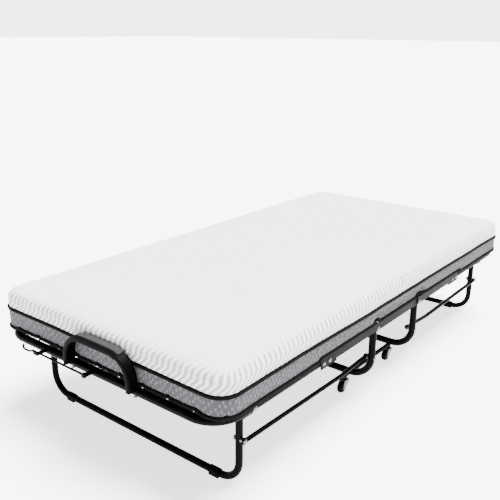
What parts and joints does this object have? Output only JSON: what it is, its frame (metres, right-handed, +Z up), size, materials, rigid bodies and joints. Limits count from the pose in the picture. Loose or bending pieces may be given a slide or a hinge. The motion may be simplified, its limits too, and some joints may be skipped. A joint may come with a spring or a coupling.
{
  "type": "rollaway bed",
  "caption": "Folding rollaway bed with a foam mattress, wire-mesh decks, self-folding end legs, swivel casters, end arches and a storage lock.",
  "frame": {"origin": "on the floor under the middle of the unfolded bed", "axes": "+X towards the head end, +Y towards the sleeper's left, +Z up"},
  "size_m": [2.0189, 0.965, 0.4212],
  "materials": {
    "black_steel": "satin black powder coat",
    "black_wire": "satin black powder coat on wire",
    "zinc": "bright zinc plate",
    "black_plastic": "moulded satin black",
    "wheel_plastic": "moulded black",
    "mattress_cover": "white quilted knit top over a grey knit band",
    "strap_fabric": "grey woven strap"
  },
  "bodies": {
    "base": {"foot_u_frame": "black_steel", "head_u_frame": "black_steel", "centre_strap_right": "black_steel", "centre_strap_left": "black_steel", "deck_pivot_bolts": "zinc", "link_pivot_bolts": "zinc", "caster_bar_right": "black_steel", "caster_bar_left": "black_steel", "caster_sockets": "black_steel", "mattress_centre": "mattress_cover"},
    "foot_deck": {"foot_mattress": "mattress_cover", "foot_frame_tube": "black_steel", "foot_side_rail_right": "black_steel", "foot_side_rail_left": "black_steel", "foot_crossbars": "black_steel", "foot_hinge_bar": "black_steel", "foot_wire_mesh": "black_wire", "foot_splice_bolts": "zinc", "foot_leg_brackets": "black_steel", "foot_leg_pivot_bolts": "zinc", "foot_retainer": "black_plastic", "foot_retainer_bolts": "zinc", "foot_retainer_sleeve": "strap_fabric", "lock_pivot": "black_steel", "lock_clip": "black_steel"},
    "foot_leg": {"foot_leg": "black_steel", "foot_foot_clips": "black_plastic", "foot_leg_link_bolts": "zinc"},
    "foot_links": {"foot_link_right": "black_steel", "foot_link_left": "black_steel"},
    "head_deck": {"head_mattress": "mattress_cover", "head_frame_tube": "black_steel", "head_side_rail_right": "black_steel", "head_side_rail_left": "black_steel", "head_crossbars": "black_steel", "head_hinge_bar": "black_steel", "head_wire_mesh": "black_wire", "head_splice_bolts": "zinc", "head_leg_brackets": "black_steel", "head_leg_pivot_bolts": "zinc", "head_retainer": "black_plastic", "head_retainer_bolts": "zinc", "head_retainer_sleeve": "strap_fabric", "lock_stud": "black_steel"},
    "head_leg": {"head_leg": "black_steel", "head_foot_clips": "black_plastic", "head_leg_link_bolts": "zinc"},
    "head_links": {"head_link_right": "black_steel", "head_link_left": "black_steel"},
    "lock_rod": {"lock_rod": "black_steel"},
    "foot_right_caster": {"foot_right_fork": "zinc"},
    "foot_right_caster_wheel": {"foot_right_wheel": "wheel_plastic"},
    "foot_left_caster": {"foot_left_fork": "zinc"},
    "foot_left_caster_wheel": {"foot_left_wheel": "wheel_plastic"},
    "head_right_caster": {"head_right_fork": "zinc"},
    "head_right_caster_wheel": {"head_right_wheel": "wheel_plastic"},
    "head_left_caster": {"head_left_fork": "zinc"},
    "head_left_caster_wheel": {"head_left_wheel": "wheel_plastic"}
  },
  "joints": [
    {"name": "foot_fold", "type": "hinge", "parent": "base", "child": "foot_deck", "pos_m": [-0.1552, 0, 0.274], "axis": [0, 1, 0], "range_deg": [0, 90], "deforming": ["mattress_centre"]},
    {"name": "foot_leg_swing", "type": "hinge", "parent": "foot_deck", "child": "foot_leg", "pos_m": [-0.82, 0, 0.274], "axis": [0, 1, 0], "range_deg": [-90, 0]},
    {"name": "foot_link_swing", "type": "hinge", "parent": "base", "child": "foot_links", "pos_m": [-0.1552, 0, 0.157], "axis": [0, 1, 0], "range_deg": [0, 90]},
    {"name": "foot_right_swivel", "type": "hinge", "parent": "base", "child": "foot_right_caster", "pos_m": [-0.1622, -0.362, 0.04], "axis": [0, 0, 1], "continuous": true},
    {"name": "foot_right_roll", "type": "hinge", "parent": "foot_right_caster", "child": "foot_right_caster_wheel", "pos_m": [-0.1802, -0.362, 0.021], "axis": [0, 1, 0], "continuous": true},
    {"name": "foot_left_swivel", "type": "hinge", "parent": "base", "child": "foot_left_caster", "pos_m": [-0.1622, 0.362, 0.04], "axis": [0, 0, 1], "continuous": true},
    {"name": "foot_left_roll", "type": "hinge", "parent": "foot_left_caster", "child": "foot_left_caster_wheel", "pos_m": [-0.1802, 0.362, 0.021], "axis": [0, 1, 0], "continuous": true},
    {"name": "head_fold", "type": "hinge", "parent": "base", "child": "head_deck", "pos_m": [0.1552, 0, 0.274], "axis": [0, -1, 0], "range_deg": [0, 90], "deforming": ["mattress_centre"]},
    {"name": "head_leg_swing", "type": "hinge", "parent": "head_deck", "child": "head_leg", "pos_m": [0.82, 0, 0.274], "axis": [0, -1, 0], "range_deg": [-90, 0]},
    {"name": "head_link_swing", "type": "hinge", "parent": "base", "child": "head_links", "pos_m": [0.1552, 0, 0.157], "axis": [0, -1, 0], "range_deg": [0, 90]},
    {"name": "head_right_swivel", "type": "hinge", "parent": "base", "child": "head_right_caster", "pos_m": [0.1622, -0.362, 0.04], "axis": [0, 0, 1], "continuous": true},
    {"name": "head_right_roll", "type": "hinge", "parent": "head_right_caster", "child": "head_right_caster_wheel", "pos_m": [0.1442, -0.362, 0.021], "axis": [0, 1, 0], "continuous": true},
    {"name": "head_left_swivel", "type": "hinge", "parent": "base", "child": "head_left_caster", "pos_m": [0.1622, 0.362, 0.04], "axis": [0, 0, 1], "continuous": true},
    {"name": "head_left_roll", "type": "hinge", "parent": "head_left_caster", "child": "head_left_caster_wheel", "pos_m": [0.1442, 0.362, 0.021], "axis": [0, 1, 0], "continuous": true},
    {"name": "lock_swing", "type": "hinge", "parent": "foot_deck", "child": "lock_rod", "pos_m": [-1.0025, 0.005, 0.283], "axis": [1, 0, 0], "range_deg": [0, 90]}
  ],
  "couplings": [
    {"joint": "foot_leg_swing", "follows": "foot_fold", "ratio": -1},
    {"joint": "foot_link_swing", "follows": "foot_fold", "ratio": 1},
    {"joint": "head_leg_swing", "follows": "head_fold", "ratio": -1},
    {"joint": "head_link_swing", "follows": "head_fold", "ratio": 1}
  ]
}
